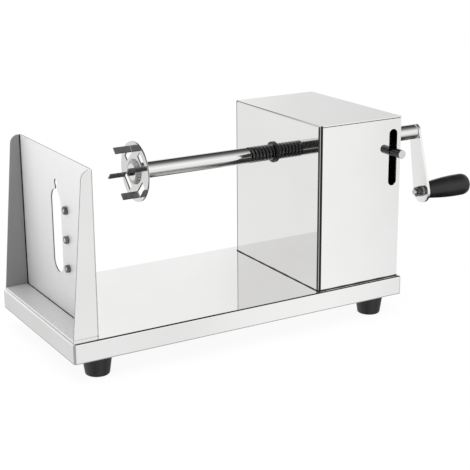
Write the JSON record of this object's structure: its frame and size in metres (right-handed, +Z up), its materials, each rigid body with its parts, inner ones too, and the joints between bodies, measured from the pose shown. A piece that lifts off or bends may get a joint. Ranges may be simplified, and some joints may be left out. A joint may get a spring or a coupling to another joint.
{
  "type": "tornado potato cutter",
  "caption": "Hand cranked table-top cutter: a threaded shaft drives a potato on a pronged disc against an upright blade and turns it into a long spiral.",
  "frame": {"origin": "middle of the whole cutter's footprint, on the surface that its feet stand on", "axes": "+X along the shaft from the blade to the crank, +Y from front to back, +Z up"},
  "size_m": [0.5026, 0.1856, 0.2025],
  "materials": {
    "polished_sheet": "mirror polished",
    "polished_plate": "polished",
    "shaft_steel": "ground and polished",
    "blade_steel": "ground",
    "mechanism_steel": "satin",
    "fastener_steel": "bright",
    "spring_wire": "drawn",
    "brass": "machined",
    "black_nylon": "moulded",
    "black_plastic": "satin",
    "black_rubber": "moulded"
  },
  "bodies": {
    "base": {"base_tray": "polished_sheet", "front_left_foot": "black_rubber", "front_right_foot": "black_rubber", "back_left_foot": "black_rubber", "back_right_foot": "black_rubber", "foot_screws": "fastener_steel", "foot_washers": "fastener_steel", "foot_nuts": "fastener_steel", "blade_bracket": "polished_sheet", "bracket_studs": "fastener_steel", "bracket_washers": "fastener_steel", "bracket_nuts": "fastener_steel", "blade": "blade_steel", "blade_spacers": "fastener_steel", "blade_screws": "fastener_steel", "blade_nuts": "fastener_steel", "housing_shell": "polished_sheet", "rear_cover": "polished_sheet", "cover_screws": "fastener_steel", "cover_nuts": "fastener_steel", "housing_screws": "fastener_steel", "housing_nuts": "fastener_steel", "rear_bush": "black_nylon", "rear_bush_nut": "black_nylon", "pivot_bracket": "mechanism_steel", "pivot_bolt": "fastener_steel", "pivot_spacer": "fastener_steel", "pivot_nut": "fastener_steel", "pivot_foot_screws": "fastener_steel", "pivot_foot_nuts": "fastener_steel", "spring_hanger": "mechanism_steel", "return_spring": "spring_wire"},
    "shaft_bush": {"front_bush": "black_nylon"},
    "shaft": {"drive_shaft": "shaft_steel", "fork_disc": "polished_plate", "disc_weld": "polished_plate", "crank_arm": "polished_plate", "grip_bolt": "fastener_steel", "grip_washer": "fastener_steel", "grip_nut": "fastener_steel", "grip_jam_nut": "fastener_steel"},
    "grip": {"grip": "black_plastic"},
    "release_lever": {"release_lever": "mechanism_steel", "release_pin": "mechanism_steel", "half_nut": "brass", "half_nut_screws": "fastener_steel", "spring_pin": "mechanism_steel"}
  },
  "joints": [
    {"name": "crank_spin", "type": "hinge", "parent": "base", "child": "shaft_bush", "pos_m": [0.0098, 0.0053, 0.162], "axis": [-1, 0, 0], "range_deg": [-8820, 4500]},
    {"name": "shaft_feed", "type": "slide", "parent": "shaft_bush", "child": "shaft", "axis": [-1, 0, 0], "range_m": [-0.098, 0.05]},
    {"name": "grip_spin", "type": "hinge", "parent": "shaft", "child": "grip", "pos_m": [0.196, -0.00923, 0.09906], "axis": [1, 0, 0], "continuous": true},
    {"name": "release_press", "type": "hinge", "parent": "base", "child": "release_lever", "pos_m": [0.09645, 0.0555, 0.142], "axis": [1, 0, 0], "range_deg": [0, 11], "stiffness_Nm_per_rad": 5, "springref_deg": -6.88, "deforming": ["return_spring"]}
  ],
  "couplings": [
    {"joint": "shaft_feed", "follows": "crank_spin", "m_per_rad": 0.00063662}
  ]
}
